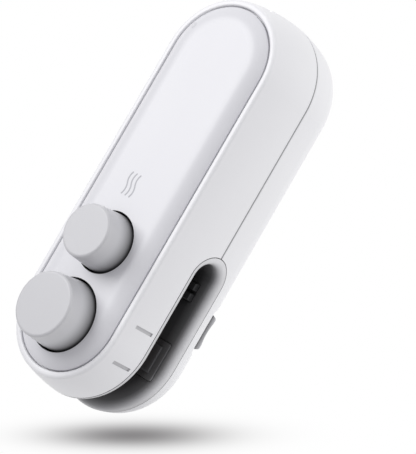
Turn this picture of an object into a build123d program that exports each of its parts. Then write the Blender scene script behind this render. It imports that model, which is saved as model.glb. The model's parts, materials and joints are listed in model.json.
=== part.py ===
from build123d import *
import math
import os

# Handheld bag heat sealer. Millimetres, +Z up, nose towards -Y.
# The origin is the middle of the back, whose four low pads rest on z = 0.

# ---- Driving dimensions -------------------------------------------------
body_length = 135.6
body_width = 47.6
seam_height = 20.0
crown_rise = 2.1

wall = 1.8
upper_side_radius = 70.0
lower_side_radius = 60.0
back_corner_radius = 12.0
back_pad_height = 0.3
back_pad_radius = 3.0
back_pad_xy = (8.0, 46.0)
seam_chamfer = 0.4
tongue_height = 1.2
tongue_thickness = 1.0
tongue_clearance = 0.12

rim_width = 2.0
rim_outer_fillet = 1.1
rim_inner_fillet = 0.6
panel_gap = 0.5
panel_thickness = 1.8
panel_flat_half_width = 12.2
panel_edge_drop = 0.2
ledge_drop = 2.1
ledge_width = 1.7
ledge_thickness = 1.4

mouth_half_height = 8.3
mouth_end = -7.3
upper_lip = 2.6
lower_lip = 3.5
mouth_end_wall = 3.0
lip_edge = 0.6
liner_clearance = 0.15

seal_y = -45.5
cut_y = -20.3
button_left_over = 1.0
seal_top_radius = 10.4
seal_base_radius = 11.35
cut_top_radius = 8.6
cut_base_radius = 9.55
button_hole_clearance = 0.6
button_wall = 1.5
button_fillet = 0.9
button_skirt = 2.0
button_lid = 1.6
skirt_gap = 0.2
stem_root = 0.9
seal_stem_radius = 3.0
cut_stem_radius = 2.6
stem_clearance = 0.06
guide_tube_wall = 1.5
guide_tube_gap = 1.6
seal_travel = 9.3
cut_travel = 9.7

frame_rise = 1.2
frame_leg_radius = 2.6
frame_thickness = 1.4
frame_edge_clearance = 0.6
frame_end_y = -9.5
frame_screw_radius = 0.95
frame_screw_head = 1.9
frame_screw_head_height = 1.3
frame_screw_xy = ((12.0, -57.5), (14.6, -18.5))
spring_wire = 0.9
spring_turns = 7
spring_tube_gap = 0.7
spring_end_gap = 0.05

head_zone_y = -44.0
head_length = 34.0
head_width = 12.0
head_top_gap = 0.15
window_clearance = 0.4
holder_thickness = 2.45
heater_bar_thickness = 0.6
heater_bar_width = 8.0
strip_thickness = 0.15
strip_width = 2.0
strip_spacing = 4.0
cover_thickness = 0.15
clamp_thickness = 0.5
guide_pin_radius = 1.2
guide_pin_spacing = 26.6
guide_pin_clearance = 0.06
guide_pin_spare = 0.05
clamp_width = 7.0
clamp_tab_thickness = 0.4
pin_seat = 1.6
stem_screw_radius = 0.95
stem_screw_head = 1.9
stem_screw_head_height = 1.1
stem_screw_depth = 6.0
wiper_gap = 0.08
wiper_thickness = 0.3
wiper_height = 4.2
wiper_base = 4.6

blade_thickness = 0.4
blade_length = 12.0
blade_edge_drop = 1.05
blade_height = 1.6
blade_holder_length = 20.0
blade_holder_width = 6.0
blade_holder_thickness = 2.4

pad_length = 36.0
pad_width = 9.0
pad_height = 2.6
pad_gap = 0.1
tray_wall = 2.0
tray_clearance = 0.2
tray_grip = 1.8
pocket_floor = 0.9
anvil_length = 36.0
anvil_width = 6.0
anvil_groove = 1.2
anvil_groove_depth = 2.0
anvil_chamfer = 0.4
blade_bite = 0.8

tick_y = (-37.7, -50.1)
tick_lift = 1.4
tick_length = 7.0
tick_width = 1.1
tick_depth = 0.5

switch_y = -29.2
switch_tilt = 39.0
scoop_depth = 0.6
scoop_end_slope = 0.9
scoop_end_gap = 0.3
scoop_reach = 2.0
scoop_half_width = 7.0
knob_length = 12.0
knob_width = 4.6
knob_proud = 0.9
knob_slot_width = 2.4
knob_travel = 0.8
knob_stem = (3.0, 1.4)
knob_dip = 0.35
knob_floor_gap = 0.15
knob_end_slope = 0.5
knob_corner = 0.3
knob_land = 1.2
knob_slot_gap = 0.3
switch_face = 2.3
switch_body_size = (8.6, 4.0, 3.4)
switch_slot_gap = 0.3
switch_slot_side_gap = 0.1
switch_mount_width = 5.4
slider_depth = 1.6
slider_rise = 0.2

boss_radius = 3.2
boss_inset = 8.8
boss_front_y = 2.0
case_screw_radius = 1.15
case_screw_head_radius = 2.1
case_screw_head_height = 1.5
case_screw_seat = 9.0
boss_top = 30.0
case_screw_reach = 6.5
counterbore_gap = 0.3
screw_pass_gap = 0.15
screw_hole_gap = 0.1
head_pocket_gap = 0.2
recess_depth = 0.7
recess_width = 0.5
recess_reach = 1.2

board_thickness = 1.6
board_front_y = -3.0
board_edge_clearance = 0.7
cell_radius = 9.1
cell_length = 49.5
cell_front_y = -1.0
cell_floor_gap = 1.6
board_screw_radius = 0.95
board_screw_depth = 2.6
cradle_y = (9.0, 38.0)
cradle_size = (20.0, 4.0, 8.5)
usb_size = (7.6, 5.2, 2.6)
usb_shell = 0.3
usb_wall_gap = 0.5
port_gap = 0.3
led_size = (1.6, 1.2, 0.7)
led_inset = 2.56
led_angle = 152.95
light_pipe_radius = 0.9
mark_place = (-2.8, -1.4)
mark_depth = 0.3
mark_length = 7.2
mark_stroke = 0.55
mark_pitch = 1.7
mark_swing = 0.45
wire_radius = 0.55
wire_bend = 2.6
wire_pitch = 1.5
wire_lane_y = -4.1
fit_gap = 0.05
cut_through = 12.0

# ---- Sizes that follow --------------------------------------------------
end_radius = body_width / 2
half_straight = body_length / 2 - end_radius
mouth_top = seam_height + mouth_half_height
mouth_bottom = seam_height - mouth_half_height
ceiling = mouth_top - upper_lip
mouth_floor = mouth_bottom + lower_lip
lip_radius = upper_lip - lip_edge
frame_bottom = mouth_top + frame_rise
frame_top = frame_bottom + frame_thickness
longest_travel = max(seal_travel, cut_travel)
crown_height = frame_top + longest_travel + skirt_gap + button_skirt
rim_height = crown_height - crown_rise
panel_edge_height = rim_height - panel_edge_drop
ledge_height = rim_height - ledge_drop
button_top_height = crown_height + longest_travel + button_left_over
holder_top = frame_bottom - head_top_gap
holder_bottom = holder_top - holder_thickness
heater_bar_bottom = holder_bottom - heater_bar_thickness
strip_bottom = heater_bar_bottom - strip_thickness
cover_bottom = strip_bottom - cover_thickness
pad_top = cover_bottom - seal_travel - pad_gap
pad_seat = pad_top - pad_height
blade_holder_bottom = holder_top - blade_holder_thickness
blade_tip = blade_holder_bottom - blade_edge_drop
anvil_top = blade_tip - cut_travel + blade_bite
panel_under = crown_height - panel_thickness
skirt_bottom = crown_height - button_skirt
counterbore_radius = case_screw_head_radius + counterbore_gap
cap_under = button_top_height - button_lid
cell_z = wall + cell_floor_gap + cell_radius
scoop_length = knob_length + 2 * (knob_travel + scoop_end_gap + scoop_end_slope)
boss_y = (boss_front_y, half_straight + (end_radius - boss_inset) / math.sqrt(2))


# ---- Outline of the body ------------------------------------------------
def side_radius(z, grow=0.0):
    """Distance from the middle line to the outer skin at height z."""
    if z >= seam_height:
        curve = upper_side_radius
    else:
        curve = lower_side_radius
    drop = curve - math.sqrt(curve ** 2 - (z - seam_height) ** 2)
    return end_radius - drop + grow


def corner_centre():
    """Centre of the arc that turns the side into the flat back."""
    across = lower_side_radius - back_corner_radius
    up = seam_height - back_corner_radius
    x = end_radius - lower_side_radius + math.sqrt(across ** 2 - up ** 2)
    return x, back_corner_radius


def corner_start():
    """Point where the side arc meets the corner arc."""
    cx, cz = corner_centre()
    span = lower_side_radius - back_corner_radius
    ux = (cx - (end_radius - lower_side_radius)) / span
    uz = (cz - seam_height) / span
    return cx + back_corner_radius * ux, cz + back_corner_radius * uz


def corner_point(angle, grow=0.0):
    """Point on the corner arc, at an angle below the horizontal."""
    cx, cz = corner_centre()
    reach = back_corner_radius + grow
    a = math.radians(angle)
    return cx + reach * math.cos(a), cz - reach * math.sin(a)


def side_arc(z0, z1, grow=0.0):
    """Part of the skin between two heights on the same side of the seam."""
    middle = (z0 + z1) / 2
    points = [(side_radius(z, grow), z) for z in (z0, middle, z1)]
    return ThreePointArc(*points)


def lower_edges(grow=0.0, top=seam_height):
    """Flat back, corner and lower side, from the middle line up to a height."""
    cx, cz = corner_centre()
    sx, sz = corner_start()
    start_angle = math.degrees(math.asin((cz - sz) / back_corner_radius))
    low = corner_point(90, grow)
    mid = corner_point((90 + start_angle) / 2, grow)
    high = corner_point(start_angle, grow)
    z_mid = (high[1] + top) / 2
    return [
        Line((0, low[1]), low),
        ThreePointArc(low, mid, high),
        ThreePointArc(high, (side_radius(z_mid, grow), z_mid), (side_radius(top, grow), top)),
    ]


def profile(edges):
    """Closed face in the XZ plane from edges given as (distance, height)."""
    return Plane.XZ * make_face(edges)


def round_the_body(face):
    """Run a profile along both sides and round both ends of the body."""
    side = extrude(face, half_straight, both=True)
    end = revolve(Pos(0, half_straight, 0) * face, Axis((0, half_straight, 0), (0, 0, 1)), 180)
    solid = side + mirror(side, Plane.YZ) + end + mirror(end, Plane.XZ)
    return solid.clean()


def closed(points):
    return Polyline(*points, close=True)


def plan_slab(radius, z0, z1):
    """Flat slab with the body's plan shape, at a given end radius."""
    face = profile(closed([(0, z0), (radius, z0), (radius, z1), (0, z1)]))
    return round_the_body(face)


def outer_form(grow=0.0):
    """Whole outside of the closed body below the rim, as one solid."""
    top = rim_height + grow
    edges = lower_edges(grow)
    edges.append(side_arc(seam_height, top, grow))
    edges.append(Line((side_radius(top, grow), top), (0, top)))
    edges.append(Line((0, top), (0, corner_point(90, grow)[1])))
    return round_the_body(profile(edges))


def mouth_slot(half_height, end_y):
    """Long slot seen from the side, open at the nose, through the body."""
    reach = body_length
    centre = end_y - half_height
    straight = Pos(0, centre - reach / 2, seam_height) * Box(body_width * 2, reach, 2 * half_height)
    end = Pos(0, centre, seam_height) * Rot(0, 90, 0) * Cylinder(half_height, body_width * 2)
    return straight + end


def inner_slot():
    """The free space of the mouth, inside the liner."""
    height = ceiling - mouth_floor
    middle = (ceiling + mouth_floor) / 2
    end_y = mouth_end - mouth_end_wall
    centre = end_y - height / 2
    reach = body_length
    straight = Pos(0, centre - reach / 2, middle) * Box(body_width * 2, reach, height)
    end = Pos(0, centre, middle) * Rot(0, 90, 0) * Cylinder(height / 2, body_width * 2)
    return straight + end


def screw(x, y, tip_z, seat_z, radius, head_radius, head_height, up=True):
    """Screw with a plain shank; its head sits at seat_z."""
    length = abs(tip_z - seat_z)
    shank = Pos(x, y, (tip_z + seat_z) / 2) * Cylinder(radius, length)
    side = 1 if up else -1
    head = Pos(x, y, seat_z + side * head_height / 2) * Cylinder(head_radius, head_height)
    reach = head_radius * recess_reach
    slots = Box(reach, recess_width, 2 * recess_depth) + Box(recess_width, reach, 2 * recess_depth)
    cross = Pos(x, y, seat_z + side * head_height) * slots
    return shank + head - cross


# ---- Shells -------------------------------------------------------------
def boss_places():
    """Where the case screws stand: two in front of the cell, two behind it."""
    across = end_radius - boss_inset
    tail = across / math.sqrt(2)
    return [(sx * x, y) for x, y in ((across, boss_y[0]), (tail, boss_y[1])) for sx in (-1, 1)]


def board_screw_places():
    places = boss_places()
    return [places[0], places[3]]


def usb_front():
    """Middle of the socket's mouth, as (y, z)."""
    z = boss_top + board_thickness + usb_size[2] / 2
    return half_straight + side_radius(z) - usb_wall_gap, z


def boss_column(x, y, z0, z1, rib_z0):
    """Screw boss with a rib that ties it to the side wall."""
    column = Pos(x, y, (z0 + z1) / 2) * Cylinder(boss_radius, z1 - z0)
    turn = math.degrees(math.atan2(max(0.0, y - half_straight), x))
    rib = Pos(boss_inset / 2, 0, 0) * Box(boss_inset, wall, z1 - rib_z0)
    return column + Pos(x, y, (rib_z0 + z1) / 2) * Rot(0, 0, turn) * rib


def upper_band():
    """Side wall with the rim and the ledge for the panel."""
    rim_inner = side_radius(rim_height) - rim_width
    under = ledge_height - ledge_thickness
    foot = side_radius(seam_height)
    chamfer_top = seam_height + seam_chamfer
    edges = [
        Line((foot - wall, seam_height), (foot - seam_chamfer, seam_height)),
        Line((foot - seam_chamfer, seam_height), (side_radius(chamfer_top), chamfer_top)),
        side_arc(chamfer_top, rim_height),
        Polyline((side_radius(rim_height), rim_height), (rim_inner, rim_height), (rim_inner, ledge_height),
                 (rim_inner - ledge_width, ledge_height), (rim_inner - ledge_width, under),
                 (side_radius(under, -wall), under)),
        side_arc(under, seam_height, -wall),
    ]
    face = make_face(edges)
    outer = [v for v in face.vertices() if v.Y > rim_height - 0.01 and v.X > rim_inner + 0.1]
    face = fillet(outer, rim_outer_fillet)
    inner = [v for v in face.vertices() if v.Y > rim_height - 0.01 and v.X < rim_inner + 0.1]
    face = fillet(inner, rim_inner_fillet)
    return round_the_body(Plane.XZ * face)


def tick_grooves():
    """Small grooves on both sides that mark the two ends of the seal."""
    skin = outer_form(wall) - outer_form(-tick_depth)
    grooves = []
    for y in tick_y:
        for sx in (-1, 1):
            block = Box(body_width / 2, tick_width, tick_length)
            middle = mouth_top + tick_lift + tick_length / 2
            grooves.append(skin & (Pos(sx * body_width / 2, y, middle) * block))
    return grooves


def make_upper_shell():
    shell = upper_band()
    room = outer_form(-wall / 2)
    rib_start = seam_height + tongue_height + 0.3
    for x, y in boss_places():
        shell += boss_column(x, y, seam_height, boss_top, rib_start) & room
    for groove in tick_grooves():
        shell -= groove
    shell -= mouth_slot(mouth_half_height, mouth_end)
    hole_top = seam_height + case_screw_reach + 0.5
    for x, y in boss_places():
        depth = hole_top - seam_height
        shell -= Pos(x, y, seam_height + depth / 2) * Cylinder(case_screw_radius + fit_gap, depth)
    for x, y in board_screw_places():
        hole = Cylinder(board_screw_radius + fit_gap, board_screw_depth)
        shell -= Pos(x, y, boss_top - board_screw_depth / 2) * hole
    front, z = usb_front()
    shell -= Pos(0, front, z) * Box(usb_size[0] + 2 * port_gap, cut_through, usb_size[2] + 2 * port_gap)
    return shell.clean()


def switch_plane():
    """Plane on the skin where the power switch sits; its z points outwards."""
    x, z = corner_point(switch_tilt)
    tilt = math.radians(switch_tilt)
    return Plane(origin=(x, switch_y, z), x_dir=(0, 1, 0), z_dir=(math.cos(tilt), 0, -math.sin(tilt)))


def stem_slot(length_gap):
    """Through slot for the knob's stem, with room for its travel."""
    length = knob_stem[0] + 2 * knob_travel + 2 * length_gap
    return Box(length, knob_slot_width, cut_through)


def switch_scoop():
    """Shallow scoop with sloping ends, cut into the rounded lower edge."""
    half = scoop_length / 2
    rise = scoop_end_slope / scoop_depth
    top = half + rise * scoop_reach
    points = [(-half + scoop_end_slope, -scoop_depth), (half - scoop_end_slope, -scoop_depth),
              (top, scoop_reach), (-top, scoop_reach)]
    face = Plane.XZ * make_face(closed(points))
    return extrude(face, scoop_half_width, both=True)


def back_relief():
    """Thin layer taken off the flat back, all but four round pads."""
    middle = back_pad_height / 2
    layer = Pos(0, 0, middle) * Box(body_width, body_length, back_pad_height)
    x, y = back_pad_xy
    for place in ((x, y), (-x, y), (x, -y), (-x, -y)):
        layer -= Pos(*place, middle) * Cylinder(back_pad_radius, back_pad_height)
    return layer


def make_lower_shell():
    foot = side_radius(seam_height)
    chamfer_bottom = seam_height - seam_chamfer
    outline = lower_edges(top=chamfer_bottom)
    outline.append(Polyline((side_radius(chamfer_bottom), chamfer_bottom),
                            (foot - seam_chamfer, seam_height), (0, seam_height), (0, 0)))
    shell = round_the_body(profile(outline))
    cavity = lower_edges(-wall)
    cavity.append(Polyline((foot - wall, seam_height), (0, seam_height), (0, wall)))
    shell -= round_the_body(profile(cavity))
    tongue_out = foot - wall - tongue_clearance
    tongue_in = tongue_out - tongue_thickness
    tongue_top = seam_height + tongue_height
    root = foot - wall + 0.3
    shell += round_the_body(profile(closed([
        (tongue_in, seam_height - 2.0), (root, seam_height - 2.5), (root, seam_height - 0.5),
        (tongue_out, seam_height - 0.1), (tongue_out, tongue_top), (tongue_in, tongue_top),
    ])))
    room = outer_form(-wall / 2)
    for x, y in boss_places():
        shell += boss_column(x, y, wall / 2, seam_height, wall / 2) & room
    where = switch_plane().location
    mount = Box(scoop_length - 2, switch_mount_width, switch_face - 1.0)
    shell += where * (Pos(0, 0, -(switch_face + 1.0) / 2) * mount) & room
    for x, y in boss_places():
        shell -= Pos(x, y, case_screw_seat / 2) * Cylinder(counterbore_radius, case_screw_seat)
        shell -= Pos(x, y, seam_height / 2) * Cylinder(case_screw_radius + screw_pass_gap, seam_height + 1)
    shell -= mouth_slot(mouth_half_height, mouth_end)
    shell -= where * switch_scoop()
    shell -= where * stem_slot(knob_slot_gap)
    shell -= back_relief()
    return shell.clean()


# ---- Top panel ----------------------------------------------------------
def panel_radius():
    return side_radius(rim_height) - rim_width - panel_gap


def led_place():
    """Where the light stands: near the far end, inside the panel's edge."""
    reach = panel_radius() - led_inset
    angle = math.radians(led_angle)
    return reach * math.cos(angle), half_straight + reach * math.sin(angle)


def crown_curve():
    """Radius of the arc between the flat crown and the panel's edge."""
    drop = crown_height - panel_edge_height
    across = panel_radius() - panel_flat_half_width
    return (drop ** 2 + across ** 2) / (2 * drop)


def crown_z(distance):
    """Height of the panel's face at a distance from the middle line."""
    over = max(0.0, distance - panel_flat_half_width)
    curve = crown_curve()
    return crown_height - curve + math.sqrt(curve ** 2 - over ** 2)


def crown_edges():
    edge = panel_radius()
    middle = (panel_flat_half_width + edge) / 2
    return [
        Line((0, crown_height), (panel_flat_half_width, crown_height)),
        ThreePointArc((panel_flat_half_width, crown_height), (middle, crown_z(middle)),
                      (edge, panel_edge_height)),
    ]


def wave_stroke(x):
    """One wavy line of the mark, as a flat shape."""
    half = mark_length / 4
    first = ThreePointArc((x, -2 * half), (x + mark_swing, -half), (x, 0))
    second = ThreePointArc((x, 0), (x - mark_swing, half), (x, 2 * half))
    return SlotArc(first, mark_stroke) + SlotArc(second, mark_stroke)


def mark_solid():
    strokes = [wave_stroke(k * mark_pitch) for k in (-1, 0, 1)]
    x, y = mark_place
    base = Pos(x, y, crown_height - mark_depth)
    return [base * extrude(stroke, mark_depth) for stroke in strokes]


def make_top_panel():
    edge = panel_radius()
    inside = edge - ledge_width + panel_gap
    edges = crown_edges()
    edges.append(Polyline((edge, panel_edge_height), (edge, ledge_height), (inside, ledge_height),
                          (inside, ledge_height + 0.9), (panel_flat_half_width + 3.2, panel_under),
                          (0, panel_under), (0, crown_height)))
    panel = round_the_body(profile(edges))
    for y, radius in ((seal_y, seal_base_radius), (cut_y, cut_base_radius)):
        panel -= Pos(0, y, crown_height) * Cylinder(radius + button_hole_clearance, cut_through)
    for stroke in mark_solid():
        panel -= stroke
    hole = Cylinder(light_pipe_radius + fit_gap, cut_through)
    panel -= Pos(*led_place(), crown_height) * hole
    return panel


def make_heat_mark():
    return group(mark_solid())


def make_light_pipe():
    x, y = led_place()
    bottom = boss_top + board_thickness + led_size[2] + 0.1
    rod = Pos(x, y, (bottom + crown_height) / 2) * Cylinder(light_pipe_radius, crown_height - bottom)
    edges = crown_edges()
    edges.append(Polyline((panel_radius(), panel_edge_height), (panel_radius(), seam_height),
                          (0, seam_height), (0, crown_height)))
    return rod & round_the_body(profile(edges))


# ---- Mouth liner --------------------------------------------------------
def frame_screw_places():
    return [(sx * x, y) for x, y in frame_screw_xy for sx in (-1, 1)]


def tray_size():
    return pad_length + 2 * tray_wall, pad_width + 2 * tray_wall


def window(length, width, z0, z1, y, corner=1.0):
    """Rounded rectangular cut, centred on the middle line."""
    shape = extrude(RectangleRounded(length, width, corner), z1 - z0)
    return Pos(0, y, z0) * shape


def on_lip(edge):
    """True for an edge where the mouth's free space meets the outer skin."""
    for t in (0.1, 0.5, 0.9):
        p = edge.position_at(t)
        along = max(0.0, abs(p.Y) - half_straight)
        reach = math.hypot(p.X, along)
        if abs(reach - side_radius(p.Z)) > 0.02:
            return False
        if not mouth_floor - 0.01 < p.Z < ceiling + 0.01:
            return False
    return True


def make_jaw_liner():
    liner = outer_form() & mouth_slot(mouth_half_height - liner_clearance, mouth_end - liner_clearance)
    liner -= inner_slot()
    lips = [e for e in liner.edges() if on_lip(e) and e.length > 0.5]
    liner = fillet(lips, lip_radius)
    grow = 2 * window_clearance
    liner -= window(head_length + grow, head_width + grow, ceiling - 1, mouth_top + 1, head_zone_y)
    length, width = blade_holder_length + grow, blade_holder_width + grow
    liner -= window(length, width, ceiling - 1, mouth_top + 1, cut_y)
    length, width = tray_size()
    pocket = mouth_bottom + pocket_floor
    grow = 2 * tray_clearance
    liner -= window(length + grow, width + grow, pocket, mouth_floor + 1, head_zone_y, 0.8)
    liner -= window(anvil_length + grow, anvil_width + grow, pocket, mouth_floor + 1, cut_y, 0.4)
    for x, y in frame_screw_places():
        depth = mouth_top - ceiling - 0.6
        liner -= Pos(x, y, mouth_top - depth / 2) * Cylinder(frame_screw_radius + fit_gap, depth + 0.2)
    return liner


# ---- Press frame and springs --------------------------------------------
def guide_tube_top(travel):
    return cap_under - travel - guide_tube_gap


def make_press_frame():
    edge = side_radius(frame_top) - wall - frame_edge_clearance
    plate = plan_slab(edge, frame_bottom, frame_top)
    plate &= Pos(0, frame_end_y - body_length / 2, frame_bottom) * Box(body_width, body_length, cut_through)
    for y, stem, travel in ((seal_y, seal_stem_radius, seal_travel), (cut_y, cut_stem_radius, cut_travel)):
        bore = stem + stem_clearance
        top = guide_tube_top(travel)
        tube = Pos(0, y, (frame_bottom + top) / 2) * Cylinder(bore + guide_tube_wall, top - frame_bottom)
        plate += tube
        plate -= Pos(0, y, (frame_bottom + top) / 2) * Cylinder(bore, top)
    for sx in (-1, 1):
        x = sx * guide_pin_spacing / 2
        hole = Cylinder(guide_pin_radius + guide_pin_clearance, cut_through)
        plate -= Pos(x, head_zone_y, frame_bottom) * hole
    for x, y in frame_screw_places():
        plate += Pos(x, y, (mouth_top + frame_bottom) / 2) * Cylinder(frame_leg_radius, frame_rise)
        plate -= Pos(x, y, frame_bottom) * Cylinder(frame_screw_radius + screw_hole_gap, cut_through)
    return plate


def make_frame_screws():
    tip = ceiling + 0.9
    screws = []
    for x, y in frame_screw_places():
        screws.append(screw(x, y, tip, frame_top, frame_screw_radius, frame_screw_head,
                            frame_screw_head_height))
    return group(screws)


def make_spring(y, stem):
    """Plain helical spring between the frame and the underside of a cap."""
    tube = stem + stem_clearance + guide_tube_wall
    radius = tube + spring_tube_gap + spring_wire / 2
    low = frame_top + spring_wire / 2 + spring_end_gap
    high = cap_under - spring_wire / 2 - spring_end_gap
    turns = spring_turns
    path = Helix(pitch=(high - low) / turns, height=high - low, radius=radius)
    start = Plane(origin=path @ 0, z_dir=path % 0)
    coil = sweep(start * Circle(spring_wire / 2), path=path)
    return Pos(0, y, low) * coil


# ---- Buttons ------------------------------------------------------------
def make_button(y, top_radius, base_radius, stem):
    """Hollow tapered cap with its stem, moulded in one."""
    inner_low = base_radius - button_wall
    inner_high = top_radius - button_wall
    outline = make_face(closed([
        (0, button_top_height), (top_radius, button_top_height), (base_radius, crown_height),
        (base_radius, skirt_bottom), (inner_low, skirt_bottom), (inner_high, cap_under),
        (stem + stem_root, cap_under), (stem, cap_under - stem_root), (stem, holder_top),
        (0, holder_top),
    ]))
    corner = [v for v in outline.vertices() if v.Y > button_top_height - 0.01 and v.X > 1]
    outline = fillet(corner, button_fillet)
    cap = revolve(Plane.XZ * outline, Axis.Z, 360)
    hole = Cylinder(stem_screw_radius + fit_gap, stem_screw_depth)
    cap -= Pos(0, 0, holder_top + stem_screw_depth / 2) * hole
    return Pos(0, y, 0) * cap


def make_stem_screw(y, seat):
    tip = holder_top + stem_screw_depth - 0.5
    return screw(0, y, tip, seat, stem_screw_radius, stem_screw_head, stem_screw_head_height, up=False)


# ---- Heat head ----------------------------------------------------------
def make_heater_holder():
    block = window(head_length, head_width, holder_bottom, holder_top, head_zone_y, 1.2)
    seat = holder_bottom + stem_screw_head_height
    pocket = Cylinder(stem_screw_head + head_pocket_gap, 2 * stem_screw_head_height)
    block -= Pos(0, seal_y, holder_bottom) * pocket
    block -= Pos(0, seal_y, seat) * Cylinder(stem_screw_radius + fit_gap, cut_through)
    for sx in (-1, 1):
        x = sx * guide_pin_spacing / 2
        block -= Pos(x, head_zone_y, holder_top - pin_seat / 2) * Cylinder(guide_pin_radius, pin_seat)
    for clamp in clamp_shapes():
        block -= clamp
    return block


def make_guide_pins():
    pins = []
    bottom = holder_top - pin_seat
    top = frame_top + seal_travel + guide_pin_spare
    for sx in (-1, 1):
        place = Pos(sx * guide_pin_spacing / 2, head_zone_y, (bottom + top) / 2)
        pins.append(place * Cylinder(guide_pin_radius, top - bottom))
    return group(pins)


def make_heater_bar():
    z = (holder_bottom + heater_bar_bottom) / 2
    return Pos(0, head_zone_y, z) * Box(head_length - 2, heater_bar_width, heater_bar_thickness)


def make_heating_strip():
    """Two flat ribbons joined at one end, laid under the bar."""
    length = head_length - 4
    z = heater_bar_bottom - strip_thickness / 2
    ribbon = Box(length, strip_width, strip_thickness)
    link = Pos(length / 2 - strip_width / 2, 0, 0) * Box(strip_width, strip_spacing, strip_thickness)
    shape = Pos(0, -strip_spacing / 2, 0) * ribbon + Pos(0, strip_spacing / 2, 0) * ribbon + link
    return Pos(0, head_zone_y, z) * shape


def make_heater_cover():
    """Non-stick sheet under the ribbons, folded up round the bar."""
    side = (heater_bar_width + cover_thickness) / 2 + 0.05
    length = head_length - 1
    height = holder_bottom - cover_bottom
    sheet = Pos(0, 0, (strip_bottom + cover_bottom) / 2)
    sheet = sheet * Box(length, 2 * side + cover_thickness, cover_thickness)
    for sy in (-1, 1):
        sheet += Pos(0, sy * side, cover_bottom + height / 2) * Box(length, cover_thickness, height)
    return Pos(0, head_zone_y, 0) * sheet


def clamp_shapes():
    """Brass end clamps: an upright plate and a tab that the guide pin holds down."""
    clamps = []
    tab_end = guide_pin_spacing / 2 - guide_pin_radius - 0.8
    for sx in (-1, 1):
        outer = head_length / 2
        height = holder_top - heater_bar_bottom
        plate = Pos(sx * (outer - clamp_thickness / 2), 0, heater_bar_bottom + height / 2)
        plate = plate * Box(clamp_thickness, clamp_width, height)
        tab = Pos(sx * (outer + tab_end) / 2, 0, holder_top - clamp_tab_thickness / 2)
        tab = tab * Box(outer - tab_end, 4.0, clamp_tab_thickness)
        tab -= Pos(sx * guide_pin_spacing / 2, 0, holder_top) * Cylinder(guide_pin_radius, 2)
        clamps.append(Pos(0, head_zone_y, 0) * (plate + tab))
    return clamps


def make_heater_clamps():
    return group(clamp_shapes())


def make_contact_wipers():
    """Brass leaves on the press frame that touch the guide pins."""
    leaves = []
    for sx in (-1, 1):
        start = guide_pin_spacing / 2 + guide_pin_radius + wiper_gap
        base = Pos(start + wiper_base / 2, 0, frame_top + wiper_thickness / 2)
        base = base * Box(wiper_base, 3.0, wiper_thickness)
        tongue = Pos(start + wiper_thickness / 2, 0, frame_top + wiper_height / 2)
        tongue = tongue * Box(wiper_thickness, 3.0, wiper_height)
        leaf = Pos(0, head_zone_y, 0) * (base + tongue)
        leaves.append(leaf if sx > 0 else mirror(leaf, Plane.YZ))
    return group(leaves)


# ---- Cutter -------------------------------------------------------------
def blade_shape(thickness):
    """Notched blade with a shallow V edge, in the plane across the body."""
    half = blade_length / 2
    notch = stem_screw_head + 0.4
    shoulder = blade_holder_bottom - 0.1
    top = blade_holder_bottom + blade_height
    face = Plane.XZ * make_face(closed([
        (0, blade_tip), (half, shoulder), (half, top), (notch, top), (notch, blade_holder_bottom),
        (-notch, blade_holder_bottom), (-notch, top), (-half, top), (-half, shoulder),
    ]))
    return Pos(0, cut_y, 0) * extrude(face, thickness / 2, both=True)


def make_blade_holder():
    block = window(blade_holder_length, blade_holder_width, blade_holder_bottom, holder_top, cut_y, 0.8)
    seat = blade_holder_bottom + stem_screw_head_height
    pocket = Cylinder(stem_screw_head + head_pocket_gap, 2 * stem_screw_head_height)
    block -= Pos(0, cut_y, blade_holder_bottom) * pocket
    block -= Pos(0, cut_y, seat) * Cylinder(stem_screw_radius + fit_gap, cut_through)
    return block - blade_shape(blade_thickness)


def make_cutter_blade():
    return blade_shape(blade_thickness)


def make_cutter_anvil():
    """Grooved bar that the blade runs into."""
    bottom = mouth_bottom + pocket_floor
    bar = Pos(0, cut_y, (bottom + anvil_top) / 2) * Box(anvil_length, anvil_width, anvil_top - bottom)
    top = bar.faces().sort_by(Axis.Z)[-1]
    bar = chamfer(top.edges(), anvil_chamfer)
    groove = Box(anvil_length + 2, anvil_groove, 2 * anvil_groove_depth)
    return bar - Pos(0, cut_y, anvil_top) * groove


# ---- Pressure pad -------------------------------------------------------
def make_pad_tray():
    length, width = tray_size()
    bottom = mouth_bottom + pocket_floor
    tray = window(length, width, bottom, pad_seat + tray_grip, head_zone_y, 0.8)
    channel = Box(pad_length, pad_width, cut_through)
    return tray - Pos(0, head_zone_y, pad_seat + cut_through / 2) * channel


def make_pressure_pad():
    pad = Pos(0, head_zone_y, pad_seat + pad_height / 2) * Box(pad_length, pad_width, pad_height)
    long_top = pad.edges().filter_by(Axis.X).group_by(Axis.Z)[-1]
    return fillet(long_top, 0.6)


# ---- Electrics ----------------------------------------------------------
def make_battery_cell():
    middle = Pos(0, cell_front_y + cell_length / 2, cell_z)
    cell = fillet((middle * Rot(90, 0, 0) * Cylinder(cell_radius, cell_length)).edges(), 0.8)
    button = Pos(0, cell_front_y - 0.3, cell_z) * Rot(90, 0, 0) * Cylinder(2.8, 0.7)
    return cell + button


def make_battery_cradle():
    """Two saddles on the floor of the lower shell, joined by a strip."""
    length, width, height = cradle_size
    strip_length = cradle_y[1] - cradle_y[0]
    middle = (cradle_y[0] + cradle_y[1]) / 2
    shape = Pos(0, middle, wall + 0.5) * Box(8, strip_length, 1.0)
    for y in cradle_y:
        shape += Pos(0, y, wall + height / 2) * Box(length, width, height)
    cell = Rot(90, 0, 0) * Cylinder(cell_radius + fit_gap, cell_length + 4)
    return shape - Pos(0, cell_front_y + cell_length / 2, cell_z) * cell


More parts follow.
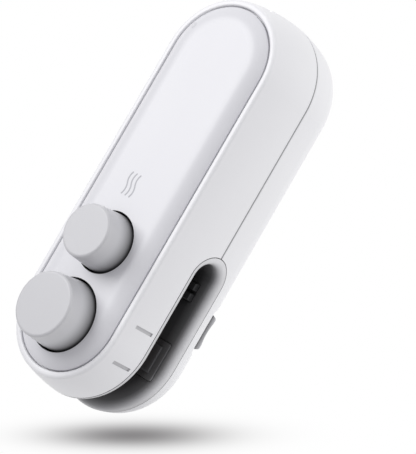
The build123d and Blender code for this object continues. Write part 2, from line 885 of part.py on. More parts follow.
def make_control_board():
    edge = side_radius(boss_top) - wall - board_edge_clearance
    board = plan_slab(edge, boss_top, boss_top + board_thickness)
    board &= Pos(0, board_front_y + body_length / 2, boss_top) * Box(body_width, body_length, cut_through)
    for x, y in board_screw_places():
        board -= Pos(x, y, boss_top) * Cylinder(board_screw_radius + screw_hole_gap, cut_through)
    return board


def make_board_chips():
    """Power coil, charge chip, control chip, capacitors and switching transistors."""
    top = boss_top + board_thickness
    parts = [
        fillet((Pos(8.5, 22, top + 1.5) * Box(7.0, 7.0, 3.0)).edges().filter_by(Axis.Z), 1.0),
        Pos(-3, 12, top + 0.8) * Box(6.0, 5.0, 1.6),
        Pos(0, 38, top + 0.5) * Box(5.0, 5.0, 1.0),
        Pos(-11, 24, top + 3.0) * Cylinder(2.6, 6.0),
        Pos(-11, 33, top + 3.0) * Cylinder(2.6, 6.0),
        Pos(13, 8, top + 0.6) * Box(3.2, 4.4, 1.2),
        Pos(13, 34, top + 0.6) * Box(3.2, 4.4, 1.2),
    ]
    return group(parts)


def make_board_screws():
    seat = boss_top + board_thickness
    tip = boss_top - board_screw_depth + 0.3
    return group([screw(x, y, tip, seat, board_screw_radius, 1.9, 1.3) for x, y in board_screw_places()])


def make_indicator_led():
    x, y = led_place()
    length, width, height = led_size
    return Pos(x, y, boss_top + board_thickness + height / 2) * Box(length, width, height)


def make_usb_socket():
    """Metal shell with a tongue inside, open at the tail."""
    front, z = usb_front()
    width, depth, height = usb_size
    shell = Pos(0, front - depth / 2, z) * Box(width, depth, height)
    hollow = Pos(0, front - depth / 2 + 0.8, z)
    shell -= hollow * Box(width - 2 * usb_shell, depth, height - 2 * usb_shell)
    tongue = Pos(0, front - depth / 2 + 0.2, z) * Box(width - 3.0, depth - 1.2, 0.6)
    return shell + tongue


def make_switch_body():
    """Slide switch behind the wall, with a slot for its slider."""
    length, width, height = switch_body_size
    body = Pos(0, 0, -switch_face - height / 2) * Box(length, width, height)
    slot_depth = slider_depth + switch_slot_gap
    slot_length = knob_stem[0] + 2 * (knob_travel + switch_slot_gap)
    slot = Box(slot_length, knob_stem[1] + 2 * switch_slot_side_gap, slot_depth)
    body -= Pos(0, 0, -switch_face - slot_depth / 2) * slot
    return switch_plane().location * body


def make_switch_slider():
    height = slider_depth + slider_rise
    block = Pos(0, 0, slider_rise - switch_face - height / 2) * Box(knob_stem[0], knob_stem[1], height)
    return switch_plane().location * block


def make_switch_knob():
    """Thumb slide with raised ends and a dip between them."""
    half = knob_length / 2
    low = knob_floor_gap - scoop_depth
    shoulder = knob_proud - knob_corner
    slope = half - knob_end_slope
    crest = slope - knob_end_slope
    land = crest - knob_land
    edges = [
        Polyline((0, low), (half, low), (slope, shoulder), (crest, knob_proud), (land, knob_proud)),
        ThreePointArc((land, knob_proud), (0, knob_proud - knob_dip), (-land, knob_proud)),
        Polyline((-land, knob_proud), (-crest, knob_proud), (-slope, shoulder), (-half, low), (0, low)),
    ]
    knob = extrude(Plane.XZ * make_face(edges), knob_width / 2, both=True)
    stem_bottom = slider_rise - switch_face
    stem = Pos(0, 0, (low + stem_bottom) / 2) * Box(knob_stem[0], knob_stem[1], low - stem_bottom)
    return switch_plane().location * (knob + stem)


def wire(points, bend=None):
    """Round wire along a route, straight runs joined by arcs."""
    route = FilletPolyline(*points, radius=wire_bend if bend is None else bend)
    start = Plane(origin=route @ 0, z_dir=route % 0)
    return sweep(start * Circle(wire_radius), path=route)


def make_battery_leads():
    """From the cell's front end up to the underside of the board."""
    leads = []
    for sx in (-1, 1):
        x = sx * 4.6
        leads.append(wire([
            (x, cell_front_y, cell_z + 4.0), (x, wire_lane_y, cell_z + 4.0),
            (x, wire_lane_y, boss_top - 4.5), (x, board_front_y + 2.0, boss_top - 3.2),
            (x, board_front_y + 2.0, boss_top),
        ], 1.2))
    return group(leads)


def make_heater_leads():
    """From the wipers back to the front edge of the board."""
    leads = []
    start_x = guide_pin_spacing / 2 + guide_pin_radius + wiper_gap + wiper_base - 1.0
    low = frame_top + wiper_thickness + wire_radius
    high = boss_top + board_thickness + wire_radius
    for sx in (-1, 1):
        leads.append(wire([
            (sx * start_x, head_zone_y, low), (sx * start_x, head_zone_y + 9, low),
            (sx * (start_x - 0.7), frame_end_y - 8, low + 0.6),
            (sx * (start_x - 0.8), board_front_y - 2, high + 0.5),
            (sx * (start_x - 0.8), board_front_y + 5, high),
        ], 8.0))
    return group(leads)


def make_switch_leads():
    """From the power switch, behind the mouth, up to the underside of the board."""
    depth = switch_face + switch_body_size[2]
    out = switch_plane().location
    leads = []
    for k in (0, 1):
        x = 9.0 + k * wire_pitch
        first = (out * Pos(1.5 - 3.0 * k, 0, -depth)).position
        second = (out * Pos(1.5 - 3.0 * k, 0, -depth - 1.8)).position
        leads.append(wire([
            (first.X, first.Y, first.Z), (second.X, second.Y, second.Z), (x + 2.0, -17 - 2 * k, 9.6),
            (x, -8, 9.6), (x, wire_lane_y, 13.0), (x, wire_lane_y, boss_top - 4.5),
            (x, board_front_y + 2.0, boss_top - 3.2), (x, board_front_y + 2.0, boss_top),
        ], 1.2))
    return group(leads)


def make_case_screws():
    screws = []
    for x, y in boss_places():
        tip = seam_height + case_screw_reach
        screws.append(screw(x, y, tip, case_screw_seat, case_screw_radius, case_screw_head_radius,
                            case_screw_head_height, up=False))
    return group(screws)


# ---- Everything ---------------------------------------------------------
def group(shapes):
    """Several separate solids as one node."""
    solids = []
    for shape in shapes:
        solids.extend(shape.solids())
    return Compound(solids)


def all_parts():
    return {
        "upper_shell": make_upper_shell(),
        "top_panel": make_top_panel(),
        "heat_mark": make_heat_mark(),
        "led_light_pipe": make_light_pipe(),
        "lower_shell": make_lower_shell(),
        "jaw_liner": make_jaw_liner(),
        "press_frame": make_press_frame(),
        "frame_screws": make_frame_screws(),
        "seal_spring": make_spring(seal_y, seal_stem_radius),
        "cut_spring": make_spring(cut_y, cut_stem_radius),
        "seal_button": make_button(seal_y, seal_top_radius, seal_base_radius, seal_stem_radius),
        "cut_button": make_button(cut_y, cut_top_radius, cut_base_radius, cut_stem_radius),
        "seal_stem_screw": make_stem_screw(seal_y, holder_bottom + stem_screw_head_height),
        "cut_stem_screw": make_stem_screw(cut_y, blade_holder_bottom + stem_screw_head_height),
        "heater_holder": make_heater_holder(),
        "guide_pins": make_guide_pins(),
        "heater_bar": make_heater_bar(),
        "heating_strip": make_heating_strip(),
        "heater_cover": make_heater_cover(),
        "heater_clamps": make_heater_clamps(),
        "contact_wipers": make_contact_wipers(),
        "blade_holder": make_blade_holder(),
        "cutter_blade": make_cutter_blade(),
        "cutter_anvil": make_cutter_anvil(),
        "pad_tray": make_pad_tray(),
        "pressure_pad": make_pressure_pad(),
        "battery_cell": make_battery_cell(),
        "battery_cradle": make_battery_cradle(),
        "battery_leads": make_battery_leads(),
        "control_board": make_control_board(),
        "board_chips": make_board_chips(),
        "board_screws": make_board_screws(),
        "indicator_led": make_indicator_led(),
        "usb_socket": make_usb_socket(),
        "heater_leads": make_heater_leads(),
        "switch_leads": make_switch_leads(),
        "power_switch_body": make_switch_body(),
        "power_switch_slider": make_switch_slider(),
        "power_switch_knob": make_switch_knob(),
        "case_screws": make_case_screws(),
    }


os.makedirs("parts", exist_ok=True)
for name, shape in all_parts().items():
    export_step(shape, f"parts/{name}.step")
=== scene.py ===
import json
import math

import bmesh
import bpy
from mathutils import Matrix, Vector


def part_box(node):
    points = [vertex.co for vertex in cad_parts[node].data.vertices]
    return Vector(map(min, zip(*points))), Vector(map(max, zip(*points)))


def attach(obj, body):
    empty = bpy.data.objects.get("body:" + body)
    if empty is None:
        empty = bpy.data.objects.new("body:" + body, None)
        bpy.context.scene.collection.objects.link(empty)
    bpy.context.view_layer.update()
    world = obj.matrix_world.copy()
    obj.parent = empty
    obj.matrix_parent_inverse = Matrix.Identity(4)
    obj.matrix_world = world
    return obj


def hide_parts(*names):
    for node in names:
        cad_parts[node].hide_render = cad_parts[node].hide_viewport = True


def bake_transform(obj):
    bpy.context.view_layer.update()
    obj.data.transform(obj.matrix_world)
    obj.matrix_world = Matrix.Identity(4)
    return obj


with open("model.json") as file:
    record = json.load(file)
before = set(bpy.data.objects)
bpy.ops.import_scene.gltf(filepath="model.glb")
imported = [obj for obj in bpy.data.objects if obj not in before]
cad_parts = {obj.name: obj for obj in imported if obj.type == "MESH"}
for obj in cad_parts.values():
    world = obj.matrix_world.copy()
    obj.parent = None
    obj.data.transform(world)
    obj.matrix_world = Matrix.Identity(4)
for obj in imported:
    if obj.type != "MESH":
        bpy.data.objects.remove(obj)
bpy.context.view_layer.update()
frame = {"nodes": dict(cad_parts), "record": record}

# Handheld bag heat sealer. Metres, +Z up, nose towards -Y, back on z = 0.
MM = 0.001

# Body: its end arcs, its leaning side and its parting line.
END_CENTRE = 44.0 * MM
END_RADIUS = 23.8 * MM
SIDE_CURVE = 70.0 * MM
SEAM = 20.0 * MM
SEAM_HALF_WIDTH = 0.42 * MM
SUNK_BY = 0.12 * MM

# Seal marks cut into the side.
TICKS_Y = (-37.7 * MM, -50.1 * MM)
TICK_HALF_WIDTH = 0.56 * MM
TICK_MIDDLE = 33.2 * MM
TICK_HALF_LENGTH = 3.55 * MM

# Mouth: where the painted shade on its lip starts and deepens, the joint behind its round end that is painted
# in shade, and where the painted shade on the nose begins.
LIP_REACH = 23.7 * MM
LIP_FADE = 7.0 * MM
SLOT_CENTRE_Y = -15.6 * MM
JOINT_REACH = 8.02 * MM
NOSE_FADE = 20.0 * MM
NOSE_START = 0.4

# Buttons and their holes in the panel.
SEAL_BUTTON_Y = -45.5 * MM
CUT_BUTTON_Y = -20.3 * MM
SEAL_HOLE = 11.95 * MM
CUT_HOLE = 10.15 * MM
WALL_SLACK = 0.06 * MM
CROWN = 42.8 * MM
# Height up the buttons' sides over which painted shade darkens their foot.
BUTTON_FOOT = 6.0 * MM

# Thumb slide: the way its face looks, and how deep the painted highlight on its crest reaches.
SLIDE_LEAN = math.radians(39.0)
SLIDE_OUT = Vector((math.cos(SLIDE_LEAN), 0.0, -math.sin(SLIDE_LEAN)))
SLIDE_SHADE = 1.5 * MM

# Tongue of the charging socket: half its thickness, and how far in it starts.
TONGUE_HALF = 0.3 * MM
TONGUE_SETBACK = 0.7 * MM

# Share of painted shade in the seam, in the seal marks and on the nose.
SEAM_SHADE = 0.6
TICK_SHADE = 0.32
NOSE_SHADE = 0.3

# Moulded surfaces: places per metre of their drift, flow marks and spark grain, and the grain's depth.
DRIFT = 28.0
FLOW = 90.0
SPARK = 4000.0
GRAIN_DEPTH = 0.012 * MM
SPECK = 0.25 * MM
PLASTIC_IOR = 1.48

# Coated cloth and circuit board.
WEAVE_PITCH = 0.5 * MM
TRACK_PITCH = 2.2 * MM
PAD_REACH = 0.16

# Screws: rings of the head as shares of its radius and height, then the thread.
HEAD_RINGS = ((0.98, 0.0), (1.0, 0.12), (1.0, 0.45), (0.94, 0.75), (0.8, 0.93), (0.62, 1.0))
HEAD_SIDES = 32
THREAD_SIDES = 20
ROWS_PER_TURN = 5
FEWEST_ROWS = 12
RIDGE = 0.2
TIP_SHARE = 0.35
TIP_TURNS = 2.2
RECESS_TOP = (0.52, 0.12)
RECESS_FLOOR = (0.34, 0.07)
RECESS_DEPTH = 0.55
SMOOTH_UNDER = 0.25 * MM

# Springs: rings along the coil, sides of its wire, and how far the end turns close up.
COIL_RINGS = 420
WIRE_SIDES = 10
CLOSE_UP = -0.72

# Floor: one painted soft shadow, in millimetres from the middle of the back.
FLOOR_REACH = 3.0
FLOOR_DROP = 0.2 * MM
SHADOW_CENTRE = (11.9, -68.7, 0.0)
SHADOW_WAY = (72.0, 36.0)
SHADOW_HALF_LENGTH = 30.0
SHADOW_HALF_WIDTH = 3.7
SHADOW_DEPTH = 0.47
SHADOW_COLOUR = (0.020, 0.010, 0.016)

# Light and camera. The camera's place is right, up and back from the point it turns about.
LIT_FROM_ROUND = (0.975, 0.968, 1.0, 1.0)
ROUND_STRENGTH = 0.48
LAMP_AIM = Vector((0.0, 0.0, 25.0)) * MM
VIEW_AZIMUTH = math.radians(86.2546)
VIEW_ELEVATION = math.radians(51.0437)
VIEW_ROLL = math.radians(-57.0733)
VIEW_PLACE = Vector((8.626, -5.278, 600.0)) * MM
VIEW_PIVOT = Vector((0.0, 0.0, 20.0)) * MM
LENS = 152.87
SENSOR_WIDTH = 36.0


# ---- Shader sums --------------------------------------------------------
class Wire:
    """A socket that can stand in a Python sum; each sign adds one Math node."""

    def __init__(self, finish, socket):
        self.finish = finish
        self.socket = socket

    def maths(self, operation, *values, clamp=False):
        settings = {"operation": operation, "use_clamp": clamp}
        return self.finish.node("ShaderNodeMath", settings, dict(enumerate(values)))

    def __add__(self, other):
        return self.maths("ADD", self, other)

    __radd__ = __add__

    def __sub__(self, other):
        return self.maths("SUBTRACT", self, other)

    def __rsub__(self, other):
        return self.maths("SUBTRACT", other, self)

    def __mul__(self, other):
        return self.maths("MULTIPLY", self, other)

    __rmul__ = __mul__

    def __truediv__(self, other):
        return self.maths("DIVIDE", self, other)

    def __rtruediv__(self, other):
        return self.maths("DIVIDE", other, self)

    def __pow__(self, other):
        return self.maths("POWER", self, other)

    def __neg__(self):
        return self.maths("MULTIPLY", self, -1.0)

    def sine(self):
        return self.maths("SINE", self)

    def root(self):
        return self.maths("SQRT", self)

    def falloff(self):
        """1 at zero, fading like a bell when the value is a squared distance."""
        return self.maths("EXPONENT", -self)

    def size(self):
        return self.maths("ABSOLUTE", self)

    def above(self, level):
        return self.maths("GREATER_THAN", self, level)

    def held(self):
        return self.maths("ADD", self, 0.0, clamp=True)


class Nodes:
    """A node tree with one method that makes any node."""

    tree = None

    def node(self, kind, settings=None, inputs=None, out=0):
        made = self.tree.nodes.new(kind)
        for key, value in (settings or {}).items():
            if key == "stops":
                self.set_stops(made.color_ramp, value)
            else:
                setattr(made, key, value)
        for key, value in (inputs or {}).items():
            if isinstance(value, Wire):
                self.tree.links.new(value.socket, made.inputs[key])
            else:
                made.inputs[key].default_value = value
        return Wire(self, made.outputs[out]) if len(made.outputs) else None

    @staticmethod
    def set_stops(ramp, stops):
        while len(ramp.elements) < len(stops):
            ramp.elements.new(1.0)
        for element, (place, colour) in zip(ramp.elements, stops):
            element.position = place
            element.color = (*colour, 1.0)

    def maths(self, operation, *values):
        return self.node("ShaderNodeMath", {"operation": operation}, dict(enumerate(values)))


class Finish(Nodes):
    """One material and the nodes that make it."""

    def __init__(self, name):
        self.material = bpy.data.materials.new(name)
        self.material.use_nodes = True
        self.tree = self.material.node_tree
        self.tree.nodes.clear()
        self.place = self.node("ShaderNodeTexCoord", out="Object")

    def axis(self, letter):
        """One object coordinate as a value."""
        return self.node("ShaderNodeSeparateXYZ", inputs={0: self.place}, out=letter)

    def stretched(self, scale):
        return self.node("ShaderNodeMapping", inputs={"Vector": self.place, "Scale": scale})

    def noise(self, per_metre, detail=2.0, rough=0.5, vector=None):
        inputs = {"Vector": vector or self.place, "Scale": per_metre, "Detail": detail, "Roughness": rough}
        return self.node("ShaderNodeTexNoise", inputs=inputs)

    def cells(self, per_metre):
        return self.node("ShaderNodeTexVoronoi", inputs={"Vector": self.place, "Scale": per_metre})

    def flow(self, stretch=0.25):
        """Marks of the melt, drawn out along the body."""
        return self.noise(FLOW, vector=self.stretched((1.0, stretch, 1.0)))

    def spark(self, per_metre=SPARK, rough=0.6):
        """Fine grain of a spark-cut mould."""
        return self.noise(per_metre, 3.0, rough)

    def blend(self, amount, first, second):
        inputs = {0: amount, 6: self.colour(first), 7: self.colour(second)}
        return self.node("ShaderNodeMix", {"data_type": "RGBA"}, inputs, out=2)

    @staticmethod
    def colour(value):
        return value if isinstance(value, Wire) else (*value, 1.0)

    def bump(self, height, depth):
        return self.node("ShaderNodeBump", inputs={"Height": height, "Distance": depth})

    def surface(self, **inputs):
        """Principled shader; an underscore in a name stands for a space."""
        named = {key.replace("_", " "): value for key, value in inputs.items()}
        return self.shown(self.node("ShaderNodeBsdfPrincipled", inputs=named))

    def shown(self, shader):
        """Send a shader to the material's output."""
        self.node("ShaderNodeOutputMaterial", inputs={"Surface": shader})
        return self.material


def shade(colour, factor):
    return tuple(min(1.0, part * factor) for part in colour)


# ---- Finishes -----------------------------------------------------------
def moulded(name, colour, rough=0.38, depth=GRAIN_DEPTH):
    """Moulded plastic: fine spark grain with pits, faint flow marks and slow colour drift."""
    f = Finish(name)
    flow = f.flow()
    spark = f.spark(1.0 / SPECK)
    pits = f.cells(0.6 / SPECK)
    tone = (f.noise(DRIFT, 3.0) * 0.6 + flow * 0.4).held()
    base = f.blend(tone, shade(colour, 0.98), shade(colour, 1.02))
    roughness = rough + (flow - 0.5) * 0.08 + (spark - 0.5) * 0.10
    normal = f.bump(spark * 0.7 + pits * 0.3, depth)
    return f.surface(Base_Color=base, Roughness=roughness, Normal=normal, IOR=PLASTIC_IOR)


def shell_plastic(name, colour, rough=0.36):
    """Satin shell moulding with painted shade in the seal marks and along the seam."""
    f = Finish(name)
    x, y, z = (f.axis(letter) for letter in "XYZ")
    flow = f.flow()
    spark = f.spark()
    tone = (f.noise(DRIFT, 3.0) * 0.6 + flow * 0.4).held()
    clean = f.blend(tone, shade(colour, 0.98), shade(colour, 1.02))
    past_end = f.maths("MAXIMUM", y.size() - END_CENTRE, 0.0)
    reach = (x * x + past_end * past_end).root()
    rise = z - SEAM
    skin_reach = (SIDE_CURVE * SIDE_CURVE - rise * rise).root() + (END_RADIUS - SIDE_CURVE)
    sunk = (skin_reach - reach).above(SUNK_BY)
    marks = 0.0
    for middle in TICKS_Y:
        marks = (1.0 - (y - middle).size().above(TICK_HALF_WIDTH)) + marks
    marks = marks * (1.0 - (z - TICK_MIDDLE).size().above(TICK_HALF_LENGTH)) * sunk
    seam = (1.0 - rise.size().above(SEAM_HALF_WIDTH)) * sunk
    # Painted shade: the floors of the seal-mark grooves and of the seam are darkened.
    base = f.blend((marks * TICK_SHADE + seam * SEAM_SHADE).held(), clean, shade(colour, 0.12))
    roughness = rough + (flow - 0.5) * 0.08 + (spark - 0.5) * 0.10
    return f.surface(Base_Color=base, Roughness=roughness, Normal=f.bump(spark, GRAIN_DEPTH), IOR=PLASTIC_IOR)


def button_plastic(name, colour, rough=0.36):
    """Moulded plastic that is rubbed matt on top, with painted shade round the foot."""
    f = Finish(name)
    spark = f.spark(3800.0)
    wear = f.noise(900.0, 4.0, 0.6)
    # Painted shade: the button's side darkens towards its foot.
    foot = ((CROWN + BUTTON_FOOT - f.axis("Z")) / BUTTON_FOOT).held() ** 1.5
    clean = f.blend(f.noise(40.0, 3.0), shade(colour, 0.98), shade(colour, 1.02))
    base = f.blend(foot, clean, shade(colour, 0.16))
    roughness = rough + (wear - 0.5) * 0.14 + (spark - 0.5) * 0.08
    return f.surface(Base_Color=base, Roughness=roughness, Normal=f.bump(spark, GRAIN_DEPTH), IOR=PLASTIC_IOR)


def panel_plastic(name, colour, rough=0.34):
    """Satin panel; the walls of its two round holes are painted in deep shade."""
    f = Finish(name)
    x, y = f.axis("X"), f.axis("Y")
    flow = f.flow(0.2)
    spark = f.spark()
    tone = (f.noise(24.0, 3.0) * 0.6 + flow * 0.4).held()
    base = f.blend(tone, shade(colour, 0.985), shade(colour, 1.015))
    for middle, radius in ((SEAL_BUTTON_Y, SEAL_HOLE), (CUT_BUTTON_Y, CUT_HOLE)):
        off = y - middle
        wall = 1.0 - (x * x + off * off).root().above(radius + WALL_SLACK)
        # Painted shade on the wall of each hole.
        base = f.blend(wall, base, shade(colour, 0.05))
    roughness = rough + (flow - 0.5) * 0.08 + (spark - 0.5) * 0.10
    return f.surface(Base_Color=base, Roughness=roughness, Normal=f.bump(spark, 0.010 * MM), IOR=PLASTIC_IOR)


def lip_plastic(name, edge, shaded_inside, rough=0.4):
    """Moulded plastic with painted shade that deepens from the rounded lip into the mouth, also on the nose
    and in the joint behind the slot's round end.
    """
    f = Finish(name)
    x, y, z = (f.axis(letter) for letter in "XYZ")
    past_end = f.maths("MAXIMUM", y.size() - END_CENTRE, 0.0)
    reach = (x * x + past_end * past_end).root()
    depth = ((LIP_REACH - reach) / LIP_FADE).held()
    spark = f.spark(4200.0)
    inward = f.maths("MAXIMUM", y - SLOT_CENTRE_Y, 0.0)
    rise = z - SEAM
    joint = (inward * inward + rise * rise).root().above(JOINT_REACH)
    # Painted shade: the lip's colour darkens into the mouth.
    stops = [(0.0, edge), (0.20, shade(edge, 0.62)), (0.5, shade(edge, 0.20)), (1.0, shaded_inside)]
    fading = f.node("ShaderNodeValToRGB", {"stops": stops}, {"Fac": depth})
    tone = f.blend(f.noise(60.0, 3.0) * 0.3, fading, shade(shaded_inside, 1.1))
    # Painted shade on the lip towards the nose.
    nose = (past_end / NOSE_FADE - NOSE_START).held() * NOSE_SHADE
    tone = f.blend(nose, tone, shade(edge, 0.12))
    # Painted shade in the joint behind the slot's round end.
    base = f.blend(joint, tone, shade(edge, 0.2))
    roughness = rough + (spark - 0.5) * 0.12
    return f.surface(Base_Color=base, Roughness=roughness, Normal=f.bump(spark, GRAIN_DEPTH), IOR=PLASTIC_IOR)


def clear_plastic(name, colour):
    """Light guide in milky plastic that matches the panel while it is unlit."""
    f = Finish(name)
    haze = f.noise(400.0, 3.0)
    scratch = f.noise(1500.0, 2.0, vector=f.stretched((1.0, 0.1, 1.0)))
    base = f.blend(haze, shade(colour, 0.96), colour)
    return f.surface(Base_Color=base, Roughness=0.28 + scratch * 0.10, Transmission_Weight=0.05, IOR=1.49,
                     Normal=f.bump(scratch, 0.004 * MM))


def metal(name, colour, along=(1.0, 0.06, 1.0), rough=0.32):
    """Drawn or ground metal: fine lines along the work and faint stains."""
    f = Finish(name)
    lines = f.noise(9000.0, 3.0, 0.7, vector=f.stretched(along))
    stain = f.noise(160.0, 4.0)
    base = f.blend((lines * 0.5 + stain * 0.5).held(), shade(colour, 0.82), shade(colour, 1.08))
    roughness = rough + (lines - 0.5) * 0.22 + (stain - 0.5) * 0.12
    return f.surface(Base_Color=base, Metallic=1.0, Roughness=roughness, Normal=f.bump(lines, 0.006 * MM))


def coil_metal(name, colour):
    """Drawn spring wire with a tempered tint."""
    f = Finish(name)
    tint = f.noise(260.0, 3.0)
    lines = f.noise(7000.0, 2.0)
    base = f.blend(tint, shade(colour, 0.75), shade(colour, 1.1))
    return f.surface(Base_Color=base, Metallic=1.0, Roughness=0.26 + lines * 0.2,
                     Normal=f.bump(lines, 0.004 * MM))


def ceramic(name, colour):
    """Fired bar: chalky with specks and pores."""
    f = Finish(name)
    pores = f.cells(2200.0)
    specks = f.noise(3500.0, 4.0, 0.7)
    base = f.blend(specks.above(0.62), colour, shade(colour, 0.7))
    return f.surface(Base_Color=base, Roughness=0.6 + specks * 0.25, Normal=f.bump(pores, 0.02 * MM))


def coated_cloth(name, colour):
    """Coated glass cloth: a plain weave that shows through the coating."""
    f = Finish(name)
    turns = 2.0 * math.pi / WEAVE_PITCH
    warp = (f.axis("X") * turns).sine()
    weft = (f.axis("Y") * turns).sine()
    weave = (warp * weft) * 0.5 + 0.5
    stain = f.noise(220.0, 3.0)
    base = f.blend((weave * 0.5 + stain * 0.5).held(), shade(colour, 0.72), shade(colour, 1.15))
    return f.surface(Base_Color=base, Roughness=0.34 + weave * 0.18, Normal=f.bump(weave, 0.03 * MM),
                     Sheen_Weight=0.1)


def slide_plastic(name, foot, crest):
    """Thumb slide: painted shade at its foot, painted highlight on its crest."""
    f = Finish(name)
    out = f.axis("X") * SLIDE_OUT.x + f.axis("Z") * SLIDE_OUT.z
    points = frame["nodes"]["power_switch_knob"].data.vertices
    top = max(v.co.dot(SLIDE_OUT) for v in points)
    # Painted highlight on the crest of the slide, fading to painted shade at its foot.
    lit_crest = ((out - top) / SLIDE_SHADE + 1.0).held()
    base = f.blend(lit_crest ** 1.3, foot, crest)
    roughness = 0.42 + (f.noise(700.0, 3.0) - 0.5) * 0.12
    normal = f.bump(f.spark(4200.0), 0.014 * MM)
    return f.surface(Base_Color=base, Roughness=roughness, Normal=normal, IOR=PLASTIC_IOR)


def sleeve(name, colour):
    """Shrunk plastic sleeve: glossy, with lengthwise shrink marks."""
    f = Finish(name)
    marks = f.noise(320.0, 3.0, vector=f.stretched((1.0, 0.12, 1.0)))
    base = f.blend(marks, shade(colour, 0.8), shade(colour, 1.2))
    return f.surface(Base_Color=base, Roughness=0.2 + marks * 0.14, Normal=f.bump(marks, 0.03 * MM),
                     Coat_Weight=0.3, Coat_Roughness=0.15)


def circuit_board(name, colour):
    """Solder mask over tracks, with bare pads."""
    f = Finish(name)
    turns = 2.0 * math.pi / TRACK_PITCH
    wander = f.noise(110.0, 1.0)
    tracks = (f.axis("X") * turns + wander * 9.0).sine().above(0.55)
    crossing = (f.axis("Y") * (turns * 0.45) + wander * 6.0).sine().above(0.9)
    copper = (tracks + crossing).held()
    pads = 1.0 - f.cells(330.0).above(PAD_REACH)
    mask = f.blend(copper, colour, shade(colour, 1.7))
    base = f.blend(pads, mask, (0.72, 0.58, 0.30))
    return f.surface(Base_Color=base, Metallic=pads * 0.9, Roughness=0.24 + wander * 0.12,
                     Normal=f.bump(copper * 0.6 + pads * 0.4, 0.035 * MM))


def wire_sleeve(name, colour):
    """Extruded sleeve: slight gloss, drawn lines and handling marks."""
    f = Finish(name)
    marks = f.noise(700.0, 3.0)
    lines = f.noise(5000.0, 2.0, vector=f.stretched((1.0, 0.2, 0.3)))
    base = f.blend(marks, shade(colour, 0.82), shade(colour, 1.15))
    return f.surface(Base_Color=base, Roughness=0.36 + marks * 0.12, Normal=f.bump(lines, 0.01 * MM))


LIP_COLOUR = (0.84, 0.84, 0.86)
# Painted shade deep in the mouth.
MOUTH_SHADE = (0.052, 0.052, 0.054)
PANEL_COLOUR = (0.755, 0.755, 0.785)

FINISHES = {
    "housing": shell_plastic("housing_plastic", (0.86, 0.86, 0.88)),
    "panel": panel_plastic("panel_plastic", PANEL_COLOUR),
    "mark": moulded("mark_ink", (0.46, 0.46, 0.49), rough=0.45),
    "light_pipe": clear_plastic("light_guide", PANEL_COLOUR),
    "liner": lip_plastic("liner_plastic", LIP_COLOUR, MOUTH_SHADE),
    "button": button_plastic("button_plastic", (0.60, 0.60, 0.62)),
    "knob": slide_plastic("slide_plastic", (0.20, 0.20, 0.205), (0.74, 0.74, 0.76)),
    # Dark colour that stands in for shade: the press frame is seen only through the gaps round the buttons.
    "inner_frame": moulded("frame_dark_for_shade", (0.045, 0.045, 0.048), rough=0.5),
    # Dark colour that stands in for the shade inside the mouth.
    "heat_plastic": moulded("heat_proof_dark_for_shade", (0.055, 0.05, 0.048), rough=0.5),
    "screw_steel": metal("plated_steel", (0.62, 0.62, 0.64), along=(1.0, 1.0, 1.0), rough=0.28),
    "spring_steel": coil_metal("spring_wire", (0.52, 0.52, 0.53)),
    "bar_ceramic": ceramic("fired_ceramic", (0.80, 0.77, 0.70)),
    "heating_alloy": metal("resistance_ribbon", (0.42, 0.40, 0.38)),
    "heat_cloth": coated_cloth("coated_cloth", (0.36, 0.23, 0.13)),
    "contact_brass": metal("rolled_brass", (0.72, 0.52, 0.24)),
    "blade_steel": metal("ground_steel", (0.70, 0.70, 0.72), along=(1.0, 1.0, 0.05), rough=0.2),
    "anvil_plastic": lip_plastic("anvil_plastic", LIP_COLOUR, MOUTH_SHADE, rough=0.5),
    "anvil_dark": moulded("anvil_shade", (0.030, 0.030, 0.032), rough=0.5),
    "silicone": lip_plastic("silicone", LIP_COLOUR, MOUTH_SHADE, rough=0.66),
    "cell_wrap": sleeve("cell_sleeve", (0.03, 0.10, 0.22)),
    "board_green": circuit_board("circuit_board", (0.012, 0.12, 0.045)),
    "chip_black": moulded("chip_package", (0.025, 0.025, 0.028), rough=0.5, depth=0.02 * MM),
    "socket_steel": metal("socket_steel", (0.66, 0.66, 0.68), rough=0.25),
    "wire_red": wire_sleeve("wire_sleeve", (0.42, 0.015, 0.015)),
}
SLOT_OF = {part["node"]: part["material_slot"] for part in frame["record"]["subparts"]}


def dress(obj, name):
    """Give every material slot of an object one finish."""
    if not obj.material_slots:
        obj.data.materials.append(FINISHES[name])
    for place in obj.material_slots:
        place.link = "OBJECT"
        place.material = FINISHES[name]


for node, obj in frame["nodes"].items():
    dress(obj, "anvil_dark" if node == "cutter_anvil" else SLOT_OF[node])


